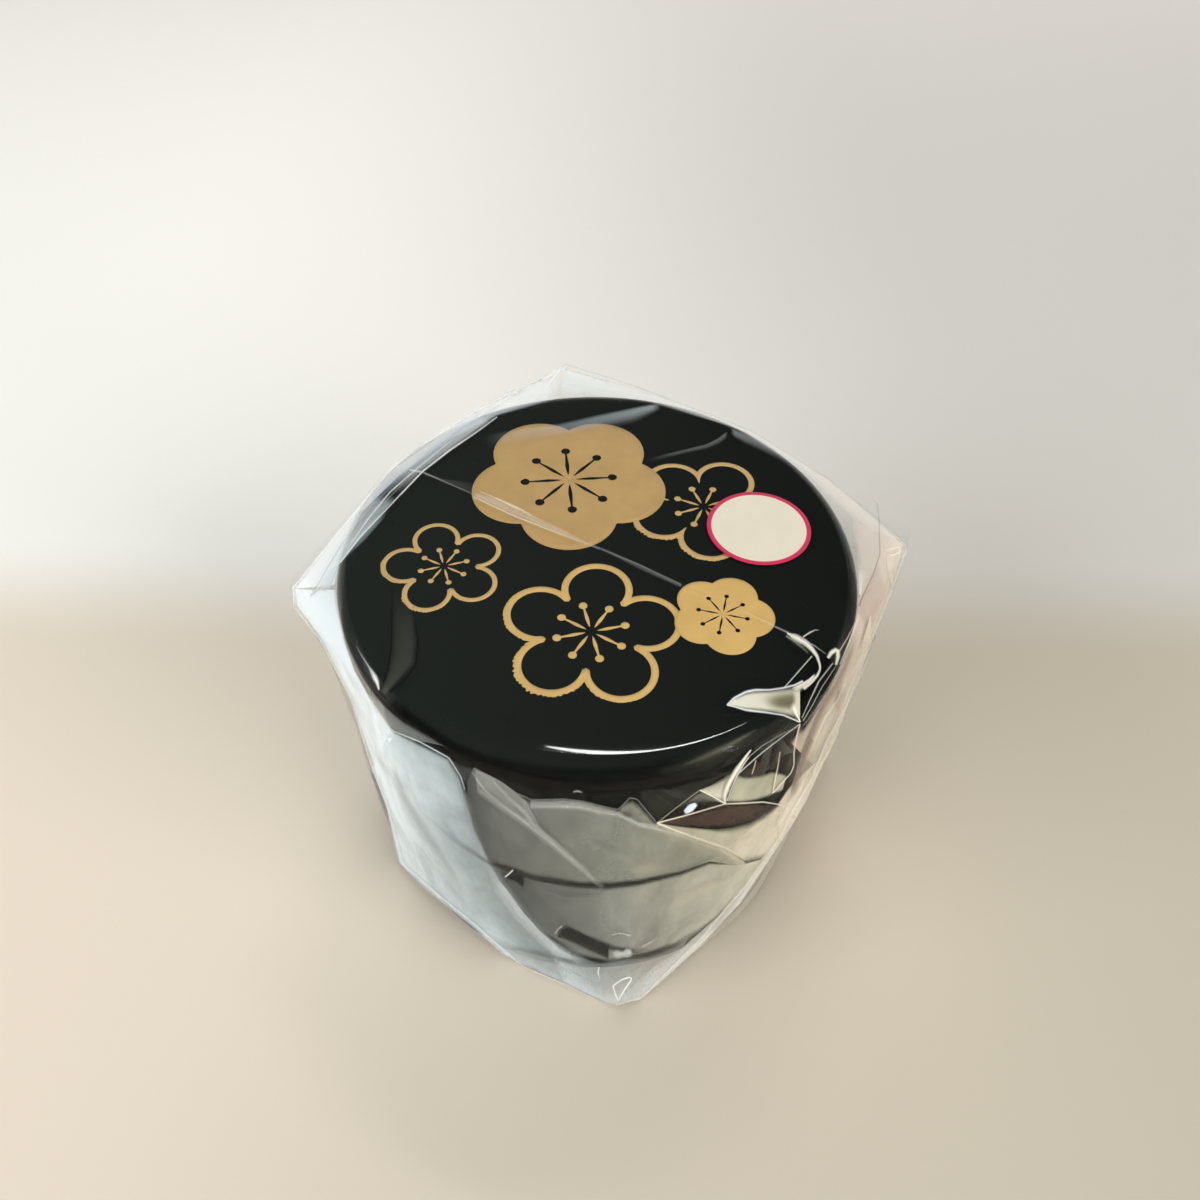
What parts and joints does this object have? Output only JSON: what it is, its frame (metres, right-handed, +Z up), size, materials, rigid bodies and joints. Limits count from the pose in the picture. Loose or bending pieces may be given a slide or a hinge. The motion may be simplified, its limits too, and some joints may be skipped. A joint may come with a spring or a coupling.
{
  "type": "stacking food box",
  "caption": "Round stacking jubako in black gloss plastic with an overlapping lid, gold plum blossoms on top, in a clear film bag.",
  "frame": {"origin": "on the axis of the round box, on the plane that the lower tier's foot stands on", "axes": "+Z up along the box's axis, +X to the right and +Y away, as in the picture; the sticker lies towards +X and the bag's widest ears near +X and -X"},
  "size_m": [0.187, 0.1783, 0.1323],
  "materials": {
    "black_gloss": "gloss",
    "gold_print": "satin",
    "clear_film": "gloss",
    "sticker_paper": "satin"
  },
  "bodies": {
    "lower_tier": {"lower_tier": "black_gloss"},
    "upper_tier": {"upper_tier": "black_gloss"},
    "lid": {"lid": "black_gloss", "blossom_large": "gold_print", "blossom_small": "gold_print", "blossom_middle": "gold_print", "blossom_right": "gold_print", "blossom_left": "gold_print"},
    "bag": {"film_bag": "clear_film", "round_sticker": "sticker_paper"}
  },
  "joints": [
    {"name": "upper_tier_lift", "type": "slide", "parent": "lower_tier", "child": "upper_tier", "axis": [0, 0, 1], "range_m": [0, 0.075]},
    {"name": "lid_lift", "type": "slide", "parent": "upper_tier", "child": "lid", "axis": [0, 0, 1], "range_m": [0, 0.05]},
    {"name": "bag_pull", "type": "slide", "parent": "lid", "child": "bag", "axis": [0, 0, 1], "range_m": [0, 0.14]}
  ]
}
